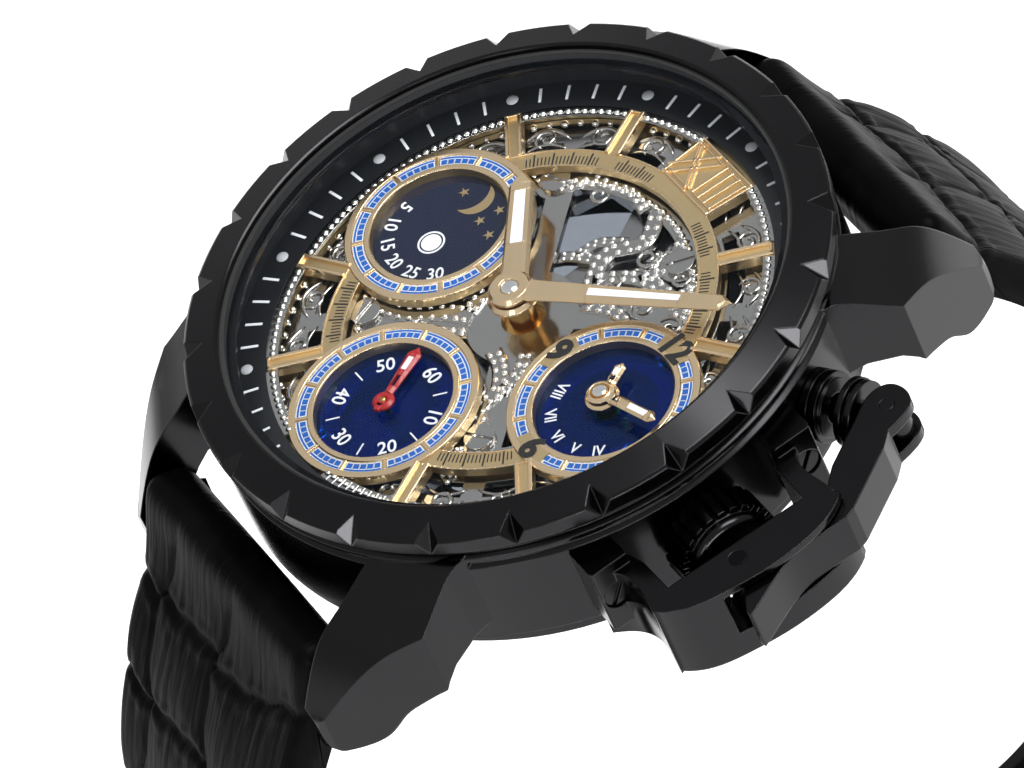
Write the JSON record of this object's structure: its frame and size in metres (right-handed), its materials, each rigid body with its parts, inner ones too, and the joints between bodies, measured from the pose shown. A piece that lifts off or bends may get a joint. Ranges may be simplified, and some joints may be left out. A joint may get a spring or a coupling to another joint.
{
  "type": "skeleton wristwatch",
  "caption": "Black skeleton wristwatch with a notched bezel, three gold-ringed subdials, a lever crown guard and an embossed leather strap closed by a pin buckle.",
  "frame": {"origin": "centre of the case back's outer face", "axes": "+Z out through the dial, +Y towards 12 o'clock, +X towards the crown at 3 o'clock"},
  "size_m": [0.0536, 0.0764, 0.0883],
  "materials": {
    "case_black": "polished black coating",
    "gold": "brushed gold plate",
    "brass": "grained",
    "steel": "fine brushed",
    "bright": "polished",
    "crystal": "clear",
    "rubber": "matt",
    "black_plate": "satin black",
    "blue": "translucent blue",
    "navy": "dark navy",
    "red": "satin red",
    "ruby": "polished",
    "strap": "black embossed leather"
  },
  "bodies": {
    "case": {"case_middle": "case_black", "bezel": "case_black", "crystal": "crystal", "gaskets": "rubber", "chapter_ring": "black_plate", "case_back": "case_black", "case_back_glass": "crystal", "movement_holder": "black_plate", "dial_frame": "gold", "moon_disc": "navy", "seconds_disc": "blue", "dual_time_disc": "blue", "front_plate": "bright", "mainplate": "steel", "train_bridge": "steel", "barrel_bridge": "steel", "balance_cock": "steel", "jewels": "ruby", "movement_screws": "bright", "hairspring": "steel", "crown_tube": "steel", "crown_guard_bridge": "case_black", "guard_screws": "case_black", "trigger_pivot_pin": "steel", "pusher_tube": "case_black", "spring_bars": "steel", "strap_upper": "strap", "strap_lower": "strap", "buckle_frame": "case_black"},
    "barrel": {"mainspring_barrel": "brass", "mainspring": "steel"},
    "ratchet": {"ratchet_wheel": "steel"},
    "crown_gear": {"crown_wheel": "steel"},
    "click_lever": {"click": "steel"},
    "centre": {"centre_wheel": "brass", "cannon_pinion": "brass", "minute_hand": "gold"},
    "third": {"third_wheel": "brass"},
    "seconds": {"fourth_wheel": "brass", "seconds_hand": "red"},
    "escape": {"escape_wheel": "steel"},
    "pallets": {"pallet_fork": "steel"},
    "balance": {"balance_wheel": "brass"},
    "motion": {"minute_wheel": "brass"},
    "hours": {"hour_wheel": "brass", "hour_hand": "gold"},
    "dual_drive": {"dual_time_idler": "brass"},
    "dual_minutes": {"dual_cannon_pinion": "brass", "dual_minute_hand": "gold"},
    "dual_motion": {"dual_minute_wheel": "brass"},
    "dual_hours": {"dual_hour_wheel": "brass", "dual_hour_hand": "gold"},
    "setting": {"setting_lever": "steel"},
    "winding": {"crown": "case_black", "winding_stem": "steel"},
    "trigger": {"trigger_lever": "case_black", "fork_roller": "case_black"},
    "push": {"pusher": "case_black"},
    "tongue": {"buckle_tongue": "steel"},
    "keeper": {"free_keeper": "strap"}
  },
  "joints": [
    {"name": "seconds_spin", "type": "hinge", "parent": "case", "child": "seconds", "pos_m": [0, -0.01067, 0.005], "axis": [0, 0, 1], "continuous": true},
    {"name": "third_spin", "type": "hinge", "parent": "case", "child": "third", "pos_m": [0.00193, -0.00563, 0.005], "axis": [0, 0, 1], "continuous": true},
    {"name": "minute_spin", "type": "hinge", "parent": "case", "child": "centre", "pos_m": [0, 0, 0.006], "axis": [0, 0, 1], "continuous": true},
    {"name": "barrel_spin", "type": "hinge", "parent": "case", "child": "barrel", "pos_m": [0.00432, 0.00515, 0.0045], "axis": [0, 0, 1], "continuous": true},
    {"name": "escape_spin", "type": "hinge", "parent": "case", "child": "escape", "pos_m": [-0.00419, -0.01262, 0.005], "axis": [0, 0, 1], "continuous": true},
    {"name": "minute_wheel_spin", "type": "hinge", "parent": "case", "child": "motion", "pos_m": [-0.00295, -0.00206, 0.0072], "axis": [0, 0, 1], "continuous": true},
    {"name": "hour_spin", "type": "hinge", "parent": "case", "child": "hours", "pos_m": [0, 0, 0.008], "axis": [0, 0, 1], "continuous": true},
    {"name": "dual_idler_spin", "type": "hinge", "parent": "case", "child": "dual_drive", "pos_m": [0.00548, -0.00204, 0.007], "axis": [0, 0, 1], "continuous": true},
    {"name": "dual_minute_spin", "type": "hinge", "parent": "case", "child": "dual_minutes", "pos_m": [0.011, -0.0001, 0.008], "axis": [0, 0, 1], "continuous": true},
    {"name": "dual_minute_wheel_spin", "type": "hinge", "parent": "case", "child": "dual_motion", "pos_m": [0.0128, -0.00322, 0.0072], "axis": [0, 0, 1], "continuous": true},
    {"name": "dual_hour_spin", "type": "hinge", "parent": "case", "child": "dual_hours", "pos_m": [0.011, -0.0001, 0.008], "axis": [0, 0, 1], "continuous": true},
    {"name": "pallet_rock", "type": "hinge", "parent": "case", "child": "pallets", "pos_m": [-0.00639, -0.01067, 0.005], "axis": [0, 0, 1], "range_deg": [-2, 2]},
    {"name": "balance_swing", "type": "hinge", "parent": "case", "child": "balance", "pos_m": [-0.0102, -0.0069, 0.0042], "axis": [0, 0, 1], "range_deg": [-220, 220], "stiffness_Nm_per_rad": 0.0000002},
    {"name": "click_rock", "type": "hinge", "parent": "case", "child": "click_lever", "pos_m": [0.00342, 0.01027, 0.0034], "axis": [0, 0, 1], "range_deg": [-4, 0], "stiffness_Nm_per_rad": 0.00001},
    {"name": "crown_pull", "type": "slide", "parent": "case", "child": "setting", "axis": [1, 0, 0], "range_m": [0, 0.001]},
    {"name": "crown_spin", "type": "hinge", "parent": "setting", "child": "winding", "pos_m": [0.024, 0, 0.00526], "axis": [1, 0, 0], "continuous": true},
    {"name": "crown_wheel_spin", "type": "hinge", "parent": "case", "child": "crown_gear", "pos_m": [0.00812, 0, 0.0035], "axis": [0, 0, 1], "continuous": true},
    {"name": "ratchet_spin", "type": "hinge", "parent": "case", "child": "ratchet", "pos_m": [0.00432, 0.00515, 0.0035], "axis": [0, 0, 1], "continuous": true},
    {"name": "trigger_press", "type": "hinge", "parent": "case", "child": "trigger", "pos_m": [0.02775, -0.00055, 0.00565], "axis": [0, 0, 1], "range_deg": [0, 4.2], "stiffness_Nm_per_rad": 0.02},
    {"name": "push", "type": "slide", "parent": "case", "child": "push", "axis": [-0.8721, -0.4894, 0], "range_m": [0, 0.00106]},
    {"name": "tongue_swing", "type": "hinge", "parent": "case", "child": "tongue", "pos_m": [0, 0.0014, -0.0701], "axis": [1, 0, 0], "range_deg": [0, 5]},
    {"name": "keeper_slide", "type": "slide", "parent": "case", "child": "keeper", "axis": [0, 1, 0], "range_m": [-0.003, 0.0005]}
  ],
  "couplings": [
    {"joint": "third_spin", "follows": "seconds_spin", "ratio": -0.125},
    {"joint": "minute_spin", "follows": "seconds_spin", "ratio": 0.016667},
    {"joint": "barrel_spin", "follows": "seconds_spin", "ratio": -0.0027778},
    {"joint": "escape_spin", "follows": "seconds_spin", "ratio": -10},
    {"joint": "minute_wheel_spin", "follows": "seconds_spin", "ratio": -0.0055556},
    {"joint": "hour_spin", "follows": "seconds_spin", "ratio": 0.0013889},
    {"joint": "dual_idler_spin", "follows": "seconds_spin", "ratio": -0.013333},
    {"joint": "dual_minute_spin", "follows": "seconds_spin", "ratio": 0.016667},
    {"joint": "dual_minute_wheel_spin", "follows": "seconds_spin", "ratio": -0.0055556},
    {"joint": "dual_hour_spin", "follows": "seconds_spin", "ratio": 0.0013889},
    {"joint": "crown_wheel_spin", "follows": "crown_spin", "ratio": 0.5},
    {"joint": "ratchet_spin", "follows": "crown_spin", "ratio": -0.3},
    {"joint": "push", "follows": "trigger_press", "m_per_rad": 0.01426}
  ]
}
